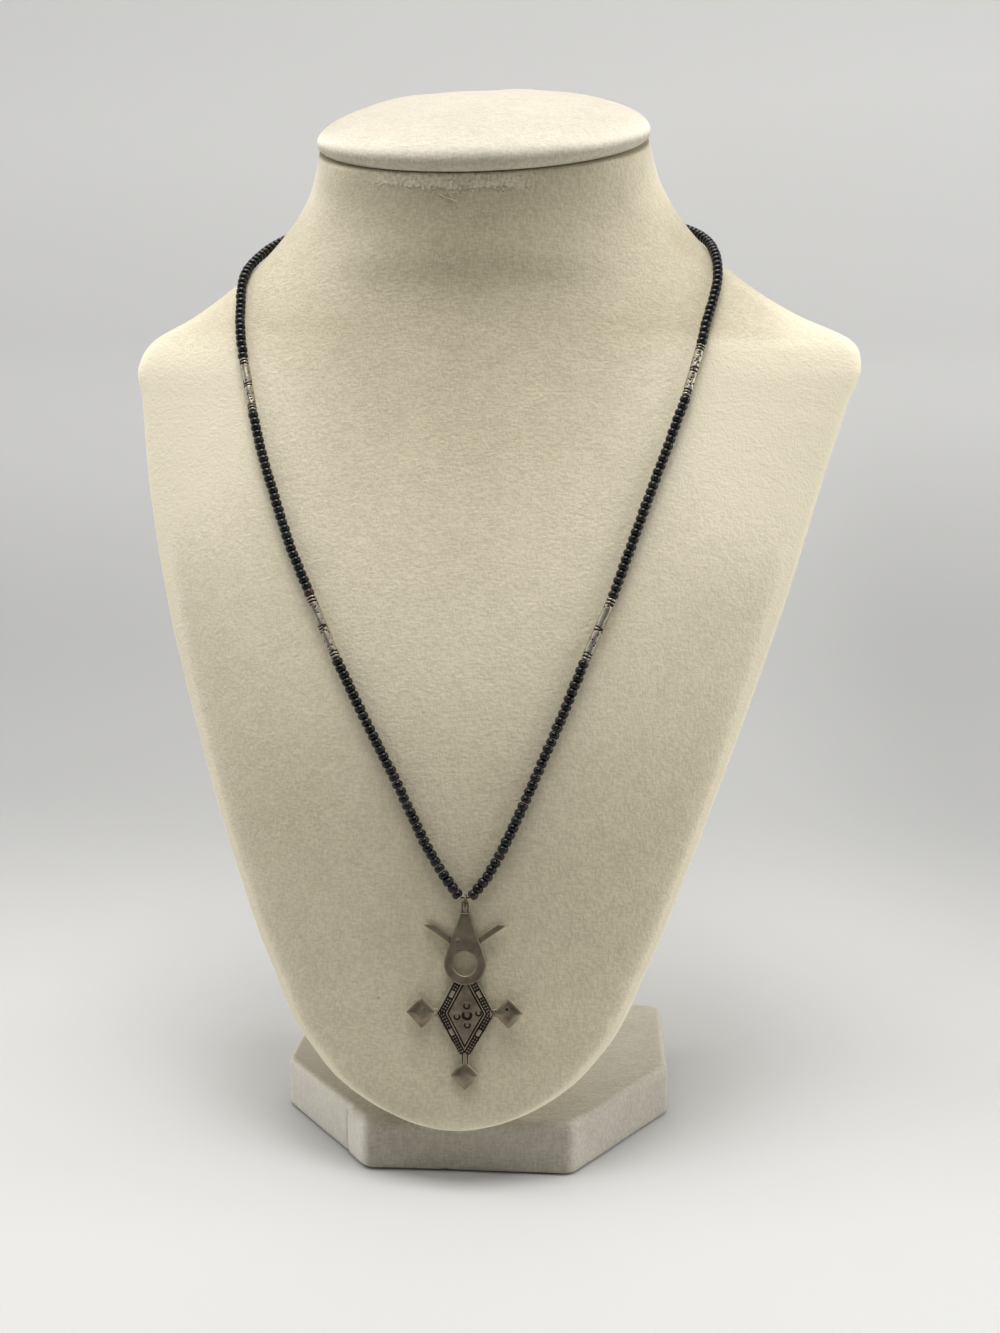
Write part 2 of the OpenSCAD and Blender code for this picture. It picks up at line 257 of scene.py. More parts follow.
# TORSO
# A moulded neck, shoulders and chest that leans back to a narrow foot, covered tightly with
# cream velvet. Its rows are those of the part's source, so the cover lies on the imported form.
LEVEL, CENTRE, HALF, RIM, FRONT, BACK, EDGE, TILT = range(8)
form_rows = np.array([
    [17.3, -4.5, 11.0, -74.5, 4.5, 34.0, 2.0, 0.0],
    [18.2, -4.5, 14.3, -74.5, 5.8, 34.0, 2.0, 0.0],
    [20.5, -4.5, 20.9, -73.5, 6.8, 35.0, 2.0, 0.0],
    [26.0, -4.8, 32.0, -70.5, 9.0, 34.0, 2.2, 0.0],
    [37.0, -5.0, 44.5, -65.0, 11.5, 32.0, 2.5, 0.0],
    [60.0, -5.5, 58.0, -56.0, 15.0, 29.0, 2.5, 0.0],
    [90.0, -5.8, 71.0, -45.0, 20.0, 28.0, 2.5, 0.0],
    [130.0, -5.5, 86.5, -29.0, 25.5, 28.0, 3.0, 0.0],
    [170.0, -4.5, 100.0, -14.0, 26.0, 27.0, 3.5, 0.0],
    [205.0, -3.0, 110.0, 1.0, 24.0, 26.0, 4.5, 0.0],
    [228.0, -1.0, 116.0, 11.0, 22.0, 25.0, 5.5, 0.0],
    [240.0, 0.0, 119.5, 17.0, 22.0, 25.0, 6.5, 0.0],
    [248.0, 0.5, 116.0, 22.0, 23.5, 25.0, 8.0, 1.0],
    [256.0, -1.5, 101.5, 28.0, 26.5, 27.0, 10.0, 2.0],
    [265.0, -3.0, 88.5, 33.0, 29.0, 30.0, 13.0, 4.0],
    [281.0, -4.5, 71.5, 39.0, 34.0, 35.6, 20.0, 11.0],
    [298.0, -5.0, 60.0, 42.0, 36.0, 39.2, 27.0, 18.0],
    [313.0, -5.5, 55.5, 42.0, 36.0, 40.2, 30.0, 22.4]])
front_power = 2.2
back_power = 2.6
neck_roll = 1.0
roll_from = 265.0
top_level = form_rows[-1, LEVEL]


def rows_at(level):
    """Form rows at any levels: a cubic between each two rows, with slopes weighed from its neighbours."""
    levels = form_rows[:, LEVEL]
    level = np.atleast_1d(np.asarray(level, float))
    heights = np.diff(levels)[:, None]
    slopes = np.diff(form_rows, axis=0) / heights
    bends = np.concatenate([slopes[:1], (slopes[:-1] * heights[1:] + slopes[1:] * heights[:-1])
                            / (heights[1:] + heights[:-1]), slopes[-1:]])
    i = np.clip(np.searchsorted(levels, level) - 1, 0, len(levels) - 2)
    h = heights[i]
    t = (level - levels[i])[:, None] / h
    return ((2 * t**3 - 3 * t**2 + 1) * form_rows[i] + (t**3 - 2 * t**2 + t) * h * bends[i]
            + (3 * t**2 - 2 * t**3) * form_rows[i + 1] + (t**3 - t**2) * h * bends[i + 1])


def lens_of(row):
    """Half width inside the edge, depths of both arcs, their end angles and the edge's length."""
    half = row[:, HALF] - row[:, EDGE]
    front, back = row[:, FRONT] - row[:, EDGE], row[:, BACK] - row[:, EDGE]
    front_end, back_end = np.arctan(front_power * front / half), np.arctan(back_power * back / half)
    return half, front, back, front_end, back_end, row[:, EDGE] * (math.pi - front_end - back_end)


def form_points(row, along):
    """Point of each row's outline at a distance along it from the front's middle.

    The front and back are arcs y = depth * (1 - u^power), moved out by the edge's radius along
    their normals and joined by that radius. The outline is then tilted and the neck rolled."""
    half, front, back, front_end, back_end, edge = lens_of(row)
    side, s, radius = np.sign(along), np.abs(along), row[:, EDGE]
    u = np.clip(s / half, 0, 1)
    v = np.clip((2 * half + edge - s) / half, 0, 1)
    on_front, on_edge = s <= half, s <= half + edge
    facing = np.where(on_front, np.arctan(front_power * front * u ** (front_power - 1) / half),
                      np.where(on_edge, front_end + (s - half) / radius,
                               math.pi - np.arctan(back_power * back * v ** (back_power - 1) / half)))
    x = np.where(on_front, u * half, np.where(on_edge, half, v * half)) + radius * np.sin(facing)
    y = np.where(on_front, -front * (1 - u**front_power),
                 np.where(on_edge, 0.0, back * (1 - v**back_power))) - radius * np.cos(facing)
    tilt = np.radians(row[:, TILT])
    rolled = np.radians(neck_roll * np.clip((row[:, LEVEL] - roll_from) / (top_level - roll_from), 0, None))
    return np.stack([row[:, CENTRE] + side * x, row[:, RIM] + y * np.cos(tilt),
                     row[:, LEVEL] + y * np.sin(tilt) + side * x * np.tan(rolled)], -1)


def form_at(level, turn):
    """Points of the form at levels, turn degrees round it: 0 is the front's middle, 180 the back's."""
    level, turn = np.broadcast_arrays(np.asarray(level, float), np.asarray(turn, float))
    row = rows_at(level.ravel())
    half, _, _, _, _, edge = lens_of(row)
    return form_points(row, turn.ravel() / 180 * (2 * half + edge)).reshape(level.shape + (3,))


def unit(directions):
    """Directions scaled to a length of 1 along their last axis."""
    return directions / np.linalg.norm(directions, axis=-1, keepdims=True)


def form_normal(level, turn, probe=0.2):
    """Outward normal of the form: the cross product of small steps round it and up it."""
    return unit(np.cross(form_at(level, turn + probe) - form_at(level, turn - probe),
                         form_at(level + probe, turn) - form_at(level - probe, turn)))


def stacked(rings):
    """Points and faces of a stack of rings, closed at both ends by fans about their middles."""
    rows, columns = rings.shape[:2]
    ring = np.arange(columns)
    after = (ring + 1) % columns
    foot, top = np.full(columns, rows * columns), (rows - 1) * columns
    fans = np.concatenate([np.stack([after, ring, foot], -1),
                           np.stack([ring + top, after + top, foot + 1], -1)])
    points = np.concatenate([rings.reshape(-1, 3), rings[:1].mean(1), rings[-1:].mean(1)])
    return points, quads(rows, columns).tolist() + fans.tolist()


def velvet(name, painted_light, lint, dark, light, frayed=None):
    """Short velvet. Its second argument gives the painted light and shade over it, from 0 to 1, given a
    place, a normal and a grain.
    Patches, strokes, a soft weave and bits of lint vary it, and frayed raises cut threads."""
    made = Finish(name)
    place = made.place()
    where, facing = made.axes(place), made.axes(made.node("ShaderNodeTexCoord", output=1))
    patches = made.noise(place, 38.0, 3.0, 0.6)
    strokes = made.noise(place, 160.0, 4.0, 0.6, 0.6)
    grain = made.noise(place, 900.0, 3.0, 0.6)
    drawn_out = [made.node("ShaderNodeVectorMath", {"operation": "MULTIPLY"}, {0: place, 1: share})
                 for share in ((0.3, 1.0, 1.0), (1.0, 1.0, 0.3))]
    weft, warp = [made.noise(threads, 1500.0, 1.0) for threads in drawn_out]
    weave = weft * 0.5 + warp * 0.5
    lie = (patches * 0.3 + strokes * 0.3 + grain * 0.15 + weave * 0.25).ramp(0.38, 0.62, -0.055, 0.055)
    lie = lie + weave.ramp(0.40, 0.60, -0.06, 0.06)
    cells = made.node("ShaderNodeTexVoronoi", values={"Vector": place, "Scale": 70.0})
    chosen = made.noise(place, 55.0, 0.0).ramp(0.60, 0.66)
    bits = (cells.ramp(0.018, 0.030, 1.0, 0.0) * chosen).clipped()
    for spot, size in lint:
        away = made.node("ShaderNodeVectorMath", {"operation": "DISTANCE"},
                         {0: place, 1: [c * MM for c in spot]}, output=1)
        bits = bits.most(away.ramp(0.5 * size * MM, size * MM, 1.0, 0.0))
    # painted light and shade, with the pile's random lie, picks between the dark and the light colour
    colour = made.mixed((painted_light(where, facing, grain) + lie).clipped(), dark, light)
    colour = made.mixed(bits * 0.6, colour, lint_colour)
    layers = [(strokes, 0.00025), (grain, 0.00018), (weave, 0.00016)]
    if frayed:
        layers.append((frayed(where, grain), 0.0004))
    return made.surface({"Base Color": colour, "Roughness": 0.95, "Specular IOR Level": 0.1,
                         "Normal": made.relief(*layers), "Sheen Weight": 0.7, "Sheen Roughness": 0.4,
                         "Sheen Tint": (1.0, 0.97, 0.90, 1.0)})


# shaded and lit colours of the one cream velvet; the painted light and shade runs between them
velvet_shaded = (0.41, 0.355, 0.235)
velvet_lit = (0.97, 0.885, 0.68)
lint_colour = (0.16, 0.13, 0.10)
# a point on the neck's slanting cut, in metres, and how much the cut rises towards the back
cut_depth, cut_level, cut_rise = 0.042, 0.313, 0.412


def hem(place, grain):
    """Frayed cloth on the neck's front, just under the cap: 1 in the band, with a ragged lower edge.

    The height under the slanting cut is z - level - rise * (y - depth)."""
    under = place[2] - cut_level - (place[1] - cut_depth) * cut_rise
    ragged = (under + (grain - 0.5) * 0.006).ramp(-0.0052, -0.0040)
    reach = place[0].math("ABSOLUTE", place[0] + 0.014).ramp(0.014, 0.034, 1.0, 0.0)
    return ragged * reach * grain.ramp(0.35, 0.55, 0.5, 1.0)


def torso_painted_light(place, normal, grain):
    """Painted light and shade on the torso: painted shade at the neck under the cap, low on the chest and
    on its upward faces against the overhead light; painted light on the shoulders, the middle of the chest
    and the turned edge. The frayed hem band is lighter thread, lifted further as painted light against
    the cap's shadow.
    """
    side, _, level = place
    away = side.math("ABSOLUTE", side + 0.008)
    shoulders = (away.ramp(0.025, 0.105) * level.ramp(0.165, 0.235, 0.0, 0.90)
                 * level.ramp(0.255, 0.285, 1.0, 0.8))
    rim = grain.finish.mark("rim")
    edge = normal[1].ramp(-0.88, -0.35, 0.0, 0.55) * level.ramp(0.16, 0.24, 1.0, 0.0)
    edge = edge + (rim**2 * 0.35 + rim**4 * 0.75) * level.ramp(0.19, 0.26, 1.0, 0.0)
    chest = level.ramp(0.095, 0.160, 0.42, 0.70) - level.ramp(0.180, 0.295, 0.0, 0.50)
    chest = chest + side.ramp(-0.045, -0.015, 0.06, 0.0) * level.ramp(0.08, 0.10, 1.0, 0.0)
    chest = chest + side.ramp(0.085, 0.105, 0.0, 0.20) * level.ramp(0.19, 0.22)
    chest = chest - away.ramp(0.0, 0.035, 0.065, 0.0) * level.ramp(0.15, 0.19)
    slope = normal[2].ramp(0.35, 0.75, 0.0, 0.58) * side.ramp(0.02, 0.08, 1.0, 1.25)
    neck = side.ramp(0.0, 0.04, 0.0, 0.10) + side.ramp(-0.055, -0.012, 0.22, 0.0)
    return chest + shoulders + edge - slope + neck * level.ramp(0.25, 0.28) + hem(place, grain) * 0.40


front_steps, edge_steps, back_steps = 56, 14, 36
foot_top, shoulder = 26.0, 236.0
torso_levels = np.concatenate([np.linspace(form_rows[0, LEVEL], foot_top, 8)[:-1],
                               np.linspace(foot_top, shoulder, 70)[:-1],
                               np.linspace(shoulder, top_level, 50)])
rim_reach = 6.0


def torso_rings():
    """Outlines of the form, each with its stations shared out between front, edge and back, and how
    near each point lies to the turned edge: exp(-distance / rim_reach)."""
    row = rows_at(torso_levels)
    half, _, _, _, _, edge = [v[:, None] for v in lens_of(row)]
    right = np.concatenate([half * np.linspace(0, 1, front_steps, endpoint=False),
                            half + edge * np.linspace(0, 1, edge_steps, endpoint=False),
                            half + edge + half * np.linspace(0, 1, back_steps + 1)], 1)
    along = np.concatenate([right, -right[:, -2:0:-1]], 1)
    from_edge = np.clip(half - np.abs(along), 0, None)
    from_foot = (torso_levels - torso_levels[0])[:, None]
    near = np.exp(-np.minimum(from_edge, from_foot) / rim_reach)
    rim = np.append(np.where(np.abs(along) < half + edge, near, 0.0), [1.0, 0.0])
    rows = np.repeat(row, along.shape[1], 0)
    return form_points(rows, along.ravel()).reshape(along.shape + (3,)), rim


def fitted(piece, node):
    """Fixes a piece to the body, in place of the node that it is made for."""
    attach(piece, "root")
    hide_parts(node)


torso_velvet = velvet("torso_velvet", torso_painted_light, [((71, 20, 292), 0.8)], velvet_shaded, velvet_lit, hem)
torso_outlines, torso_rim = torso_rings()
torso = mesh_piece("torso_cover", *stacked(torso_outlines), torso_velvet)
marked(torso, rim=torso_rim)
fitted(torso, "torso")

# NECK CAP
# A thin board cut to the neck's oval, padded and wrapped with the same velvet, then pressed on
# the cut neck. The pad swells over a tucked-in crease.
cap_height = 13.6
cap_overhang = 0.7
cap_seat = 0.3
cap_tuck, cap_bulge = 2.2, 2.4
cap_fullness = 2.4
cap_mean_radius = 45
cap_sides = 160
wall_rings, dome_rings = 7, 34
pole_share = 0.99
cap_cover = form_rows[-1]


def turns(count):
    """A full turn in equal steps."""
    return np.linspace(0, 2 * math.pi, count, endpoint=False)


def turned(first, second, angle):
    """Two coordinates a and b turned by an angle: a cos - b sin and a sin + b cos."""
    c, s = math.cos(angle), math.sin(angle)
    return first * c - second * s, first * s + second * c


def cap_rings():
    """Rings of the oval pad, by their share of its width. The wall tucks in on a quarter ellipse under
    the bulge, and the height over it is h * sqrt(1 - share^fullness). The cushion is a little
    uneven, as hand padding is."""
    bend = np.linspace(0, math.pi / 2, wall_rings, endpoint=False)
    share = np.append(np.ones(wall_rings), 1 - np.linspace(0, pole_share, dome_rings) ** 1.8)[:, None]
    tuck = np.append(cap_tuck * (1 - np.sin(bend)), np.zeros(dome_rings))[:, None]
    dome = np.sqrt(np.clip(1 - share[wall_rings:, 0] ** cap_fullness, 0, 1))
    height = np.append(cap_bulge * (1 - np.cos(bend)), cap_bulge + (cap_height - cap_bulge) * dome)
    a = turns(cap_sides)
    depth = np.where(np.sin(a) < 0, cap_cover[FRONT], cap_cover[BACK]) + cap_overhang
    width = cap_cover[HALF] + cap_overhang
    scale = share - tuck / cap_mean_radius
    lump = 0.25 * np.sin(3 * a + 0.6) + 0.2 * np.sin(5 * a + 2.0) + 0.12 * np.sin(11 * a)
    z = height[:, None] + lump * (share * (1 - share) * 4) ** 0.5 + cap_seat
    x, z = turned(width * scale * np.cos(a), z, math.radians(neck_roll))
    y, z = turned(depth * scale * np.sin(a), z, math.radians(cap_cover[TILT]))
    return np.stack([x, y, z], -1) + cap_cover[[CENTRE, RIM, LEVEL]]


def cap_painted_light(place, normal, grain):
    """Painted shade low on the tucked wall, painted light where it turns, and painted shade again on top, to
    hold back the brightness where most light falls.
    """
    return normal[2].ramp(-0.2, 0.5, 0.34, 0.98) - normal[2].ramp(0.45, 0.9, 0.0, 0.60)


# shaded and lit colours of the cap's velvet; the painted light and shade runs between them
cap_shaded, cap_lit = (0.42, 0.375, 0.285), (0.97, 0.90, 0.755)
cap_velvet = velvet("cap_velvet", cap_painted_light, [((-31, 30, 318), 0.7)], cap_shaded, cap_lit)
cap = mesh_piece("padded_cap", *stacked(cap_rings()), cap_velvet)
fitted(cap, "neck_cap")

# HEM
# Cut threads of the velvet's backing stick out where the cover was tucked in under the cap.
fibre_radius = 0.06
fibre_count, fibre_sides = 26, 5
loose_thread = np.array([[305.6, -13.0], [304.4, -11.0], [303.6, -8.5], [302.6, -6.2]])
loose_thickness = 1.8
fibre_slant = (0.31, 0.22, 0.93)


def square_to(way, hint):
    """Two unit directions square to way and to each other, of which the first is square to hint too."""
    side = unit(np.cross(way, hint))
    return side, np.cross(way, side)


def around(line, first, second, radius, a):
    """Rings round a line: point = line + radius * (first * cos(a) + second * sin(a))."""
    first, second = np.reshape(first, (-1, 1, 3)), np.reshape(second, (-1, 1, 3))
    return line[:, None] + (radius * np.cos(a))[..., None] * first + (radius * np.sin(a))[..., None] * second


def joined(shells):
    """Points and faces of several shells as one mesh: each one's corner numbers go on from the last."""
    starts = np.cumsum([0] + [len(points) for points, _ in shells]).tolist()
    faces = [[start + corner for corner in face]
             for start, (_, shell) in zip(starts, shells) for face in shell]
    return np.concatenate([points for points, _ in shells]), faces


def fibres():
    """Thin round threads that lie on the neck. Each is a bowed line of levels and turns round the
    form, lifted off it by a little more at its loose end."""
    chance = np.random.default_rng(4)
    share = np.linspace(0, 1, 6)[:, None]
    lines = [loose_thread]
    for _ in range(fibre_count):
        level, turn = chance.uniform(306.0, 310.5), chance.uniform(-24, 12)
        run, drop = chance.uniform(-2.5, 2.5), -chance.uniform(0.6, 2.6)
        bow = np.sin(share * math.pi) * chance.normal(0, 0.4, 2)
        lines.append([level, turn] + share * [drop, run] + bow)
    shells = []
    for line in lines:
        lift = np.linspace(0.10, 0.45, len(line))[:, None]
        path = form_at(*line.T) + lift * form_normal(*line.T)
        radius = fibre_radius * (loose_thickness if line is loose_thread else 1.0)
        side, up = square_to(unit(np.gradient(path, axis=0)), fibre_slant)
        shells.append(stacked(around(path, side, up, radius, turns(fibre_sides))))
    return joined(shells)


hem_fibres = mesh_piece("hem_fibres", *fibres(), cap_velvet)
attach(hem_fibres, "root")

# BASE
# A board with its two front corners cut off, wrapped with velvet. The cover's edges are turned
# under it, its fold shows beside the left front corner, and the hem has two small nicks.
base_middle = (-0.5, -30.5)
base_width, base_depth, base_height = 123.0, 85.0, 17.0
base_front, base_cut = 56.5, 35.0
base_turn = math.radians(0.9)
base_round = 5.5
top_round, top_drop = 2.8, 2.9
most_inset = 2.4
# how far the left front corner stands out to the left, and the left cut's back end out and forward
corner_out = 0.8
cut_out, cut_fore = 1.8, 1.5
# inset and height of the rings of the turned-under hem
hem_rings = np.array([[most_inset, 0.0], [2.0, 0.0], [1.2, 0.35], [0.4, 0.7], [0.0, 1.2]])
fold_back, nick_back, nick_on = 12.0, 11.5, 21.5


def base_painted_light(place, normal, grain):
    """Painted light and shade by facing: the front is left darkest, faces turned left are lightest, faces
    turned right a little lighter, and the top is darker at its left end.
    """
    left, right = normal[0].ramp(-0.7, -0.1, 0.66, 0.0), normal[0].ramp(0.1, 0.7, 0.0, 0.22)
    top = normal[2].ramp(0.5, 0.9)
    return left + right + top * place[0].ramp(-0.055, -0.02, -0.22, 0.08) + 0.14


def base_outline(steps):
    """Rounded polygon as points and outward normals, shared out evenly along its length."""
    w, d, f = base_width / 2 - base_round, base_depth / 2 - base_round, base_front / 2
    corners = np.array([[-f - corner_out, -d], [f, -d], [w, base_cut - d], [w, d], [-w, d],
                        [-w - cut_out, base_cut - d - cut_fore]])
    edges = np.roll(corners, -1, 0) - corners
    lengths = np.linalg.norm(edges, axis=1)
    facing = np.arctan2(-edges[:, 0], edges[:, 1])
    angles = np.unwrap(np.append(facing, facing[0] + 2 * math.pi))
    marks = np.cumsum(np.stack([lengths, base_round * np.diff(angles)], -1).ravel())
    s = np.linspace(0, marks[-1], steps, endpoint=False)
    k = np.searchsorted(marks, s, side="right")
    edge, straight = k // 2, k % 2 == 0
    past = s - np.append(0.0, marks)[k]
    facing = angles[edge] + np.where(straight, 0.0, past / base_round)
    out = np.stack([np.cos(facing), np.sin(facing)], -1)
    on_edge = corners[edge] + edges[edge] * (past / lengths[edge])[:, None]
    middle = np.where(straight[:, None], on_edge, corners[(edge + 1) % len(corners)])
    return middle + base_round * out, out, s


def ridge(distance, width):
    """1 on a line and 0 away from it: exp(-(distance / width)^2)."""
    return np.exp(-((distance / width) ** 2))


def base_rings():
    """Rings from the turned-under hem up the wall and over the rounded top edge. The fold and slow
    waves push the wall out, and the nicks lift the hem."""
    line, out, s = base_outline(420)
    bend = np.linspace(0, math.pi / 2, 8)
    rounding = np.minimum(top_round * (1 - np.cos(bend)), most_inset)
    inset = np.concatenate([hem_rings[:, 0], np.zeros(6), rounding, [most_inset]])[:, None]
    height = np.concatenate([hem_rings[:, 1], np.linspace(2.2, base_height - 3.4, 6),
                             base_height - top_drop * (1 - np.sin(bend)), [base_height]])[:, None]
    lap = s - s[-1] + fold_back
    fold = (1.3 * np.clip(lap / 1.2, 0, 1) - ridge(lap + 0.6, 0.8)
            + np.exp(-s / 9.0) * (s < s[-1] / 2))
    waves = 0.12 * np.sin(s / 5.3) + 0.08 * np.sin(s / 2.9 + 1.0)
    wall = np.clip(height / 3, 0, 1) * np.clip((base_height - height) / 4, 0, 1)
    inset = inset - wall * (fold + waves - 0.25)
    nicks = 0.9 * ridge(s - nick_on, 0.8) + 1.3 * ridge(s - s[-1] + nick_back, 1.3)
    lift = nicks * np.clip(1 - height / 1.5, 0, 1)
    flat = line - inset[..., None] * out
    flat[[0, -1]] *= 0.97
    x, y = turned(flat[..., 0], flat[..., 1], base_turn)
    return np.stack([x + base_middle[0], y + base_middle[1], height + lift], -1)


# shaded and lit colours of the base's greyer velvet; the painted light and shade runs between them
base_shaded, base_lit = (0.40, 0.365, 0.29), (0.93, 0.89, 0.78)
base_velvet = velvet("base_velvet", base_painted_light, [((34, -66, 12), 0.5)], base_shaded, base_lit)
base = mesh_piece("base_cover", *stacked(base_rings()), base_velvet)
fitted(base, "base_block")

# STRAND
# Small black glass beads on one thread: short lengths of drawn tube, tumbled until their edges are
# round. No two are quite alike in width, length, seat or colour.
bead_width, bead_pitch = 3.05, 2.3
strand_gap = 0.35
strand_lift = bead_width / 2 + strand_gap
front_left_route = [[86, 3.45], [95, -4.8], [104, -10.8], [118, -18.2], [134, -26.5], [152.5, -35]]
chest_left_route = [[170, -41.5], [185, -46.8], [198, -50.2], [212, -53.8], [224.5, -56.2]]
back_left_route = [[241, -58.3], [249, -61.8], [258, -70], [267.5, -78], [273.5, -86], [279, -98.5],
                   [283, -113], [285.4, -128.5], [286.6, -145], [287.5, -162], [288, -180]]
back_right_route = [[245.5, 48.8], [252.5, 54.8], [259, 63.2], [267.5, 72.5], [274.5, 81.5],
                    [279.5, 95.5], [283, 112], [285.4, 128.5], [286.6, 145], [287.5, 162]]
chest_right_route = [[170.5, 39.2], [182, 41.2], [196, 43.4], [212, 45.6], [229.5, 47.4]]
front_right_route = [[86, 7.55], [93, 13.8], [103, 19.2], [116, 24.2], [134, 30], [153, 34.8]]


def smooth_line(knots, steps):
    """Catmull-Rom curve through knots. Each span is half of
    2b + (c - a) t + (2a - 5b + 4c - d) t^2 + (3b - a - 3c + d) t^3."""
    ends = np.concatenate([[2 * knots[0] - knots[1]], knots, [2 * knots[-1] - knots[-2]]])
    a, b, c, d = [ends[k:len(ends) - 3 + k, None] for k in range(4)]
    t = np.linspace(0, 1, steps, endpoint=False)[None, :, None]
    spans = (2 * b + (c - a) * t + (2 * a - 5 * b + 4 * c - d) * t**2
             + (3 * b - a - 3 * c + d) * t**3) / 2
    return np.concatenate([spans.reshape(-1, 3), knots[-1:]])


def strand_line(route):
    """The strand's centreline and the velvet's outward direction, at close steps along a route."""
    level, turn = np.array(route, float).T
    out = form_normal(level, turn)
    return smooth_line(form_at(level, turn) + strand_lift * out, 24), unit(smooth_line(out, 24))


def squared(out, way):
    """The unit directions nearest to out that stand square to way."""
    return unit(out - way * (out * way).sum(-1, keepdims=True))


def along_line(line, out, marks):
    """Places, directions and outward normals at distances along a line."""
    run = np.append(0.0, np.cumsum(np.linalg.norm(np.diff(line, axis=0), axis=1)))
    def read(values, at):
        return np.stack([np.interp(at, run, values[:, k]) for k in range(3)], -1)
    way = unit(read(line, marks + 0.5) - read(line, marks - 0.5))
    return read(line, marks), way, squared(read(out, marks), way)


# radius and height of the corners of a bead's section
bead_section = np.array([[0.50, -0.86], [1.20, -1.10], [1.67, -0.42],
                         [1.67, 0.42], [1.20, 1.10], [0.50, 0.86]])
bead_sides = 12
bead_points = len(bead_section) * bead_sides
# colours of the glass and the share of the beads that each takes
glass_colours = np.array([[0.005, 0.005, 0.005], [0.010, 0.009, 0.008], [0.015, 0.010, 0.008],
                          [0.012, 0.008, 0.012], [0.007, 0.011, 0.009]])
glass_shares = [0.63, 0.20, 0.03, 0.07, 0.07]
brown_bead = (0.055, 0.028, 0.018)
tipping, shifting = 0.05, 0.05


def bead_mesh(place, way, out, seed):
    """Every bead of a stretch at once: the section turned about each bead's own axis.

    Point = place + out * r cos(a) + across * r sin(a) + way * h, with the axis tipped a little."""
    chance = np.random.default_rng(seed)
    count = len(place)
    tips = [chance.normal(0, tipping, (count, 1)) for _ in range(2)]
    way = unit(way + out * tips[0] + np.cross(way, out) * tips[1])
    out = squared(out, way)
    width = 1 - np.abs(chance.normal(0, 0.025, (count, 1, 1)))
    length = np.clip(chance.normal(0.97, 0.05, (count, 1, 1)), 0.85, 1.03)
    place, way, out, across = [v[:, None, None] for v in (place, way, out, np.cross(way, out))]
    place = place + across * chance.normal(0, shifting, (count, 1, 1, 1))
    a = turns(bead_sides) + chance.uniform(0, 1, (count, 1, 1))
    r, h = bead_section[:, :1] * width, bead_section[:, 1:] * length
    points = (place + out * (r * np.cos(a))[..., None] + across * (r * np.sin(a))[..., None]
              + way * h[..., None])
    faces = quads(len(bead_section), bead_sides, loop=True) + np.arange(count)[:, None, None] * bead_points
    glass = glass_colours[chance.choice(len(glass_colours), count, p=glass_shares)]
    glass = glass * chance.uniform(0.7, 1.3, (count, 1))
    return points.reshape(-1, 3), faces.reshape(-1, 4).tolist(), np.repeat(glass, bead_points, 0)


def black_glass():
    """Opaque glass, glossy but tumbled. Each bead's colour is in its mesh, and dust dulls it in places."""
    made = Finish("black_glass")
    place = made.place()
    glass = made.node("ShaderNodeAttribute", {"attribute_name": "glass"})
    dust = made.noise(place, 420.0, 3.0).ramp(0.45, 0.75)
    ripple = made.noise(place, 650.0, 1.0)
    return made.surface({"Base Color": made.mixed(dust * 0.25, glass, (0.05, 0.048, 0.045)),
                         "Roughness": dust * 0.2 + 0.16, "Specular IOR Level": 0.3,
                         "Normal": made.relief((ripple, 0.00012))})


bead_glass = black_glass()
stretches = [("beads_front_left", front_left_route), ("beads_chest_left", chest_left_route),
             ("beads_back", back_left_route + back_right_route[::-1]),
             ("beads_chest_right", chest_right_route), ("beads_front_right", front_right_route)]
for seed, (node, route) in enumerate(stretches, 11):
    line, out = strand_line(route)
    whole = np.linalg.norm(np.diff(line, axis=0), axis=1).sum()
    count = round(whole / bead_pitch)
    marks = (np.arange(count) + 0.5) * whole / count
    points, faces, glass = bead_mesh(*along_line(line, out, marks), seed)
    if node == "beads_chest_left":
        glass[:bead_points] = brown_bead
    beads = mesh_piece(node + "_glass", points, faces, bead_glass)
    tint = beads.data.attributes.new("glass", "FLOAT_COLOR", "POINT")
    tint.data.foreach_set("color", np.column_stack([glass, np.ones(len(glass))]).astype(np.float32).ravel())
    fitted(beads, node)

# TUBE BEADS
# Four hand-made silver tubes, rolled from sheet. Pairs of rings are filed round them near the
# ends and at the middle, not quite square, and the high spots are worn bright.
tube_radius, tube_bore = 1.5, 0.6
tube_gap = 0.3
tube_sides = 48
groove_depth, groove_width = 0.20, 0.24
tube_pits = 70
worn_down = 0.03
upright = (0.0, 0.0, 1.0)
# share of the tube's length, offset from it, and slant of each filed ring
filed_rings = [(0.0, 0.75, 0.05), (0.0, 1.75, -0.08), (0.5, -0.42, 0.30), (0.5, 0.42, -0.28),
               (1.0, -1.85, 0.10), (1.0, -0.80, -0.05)]


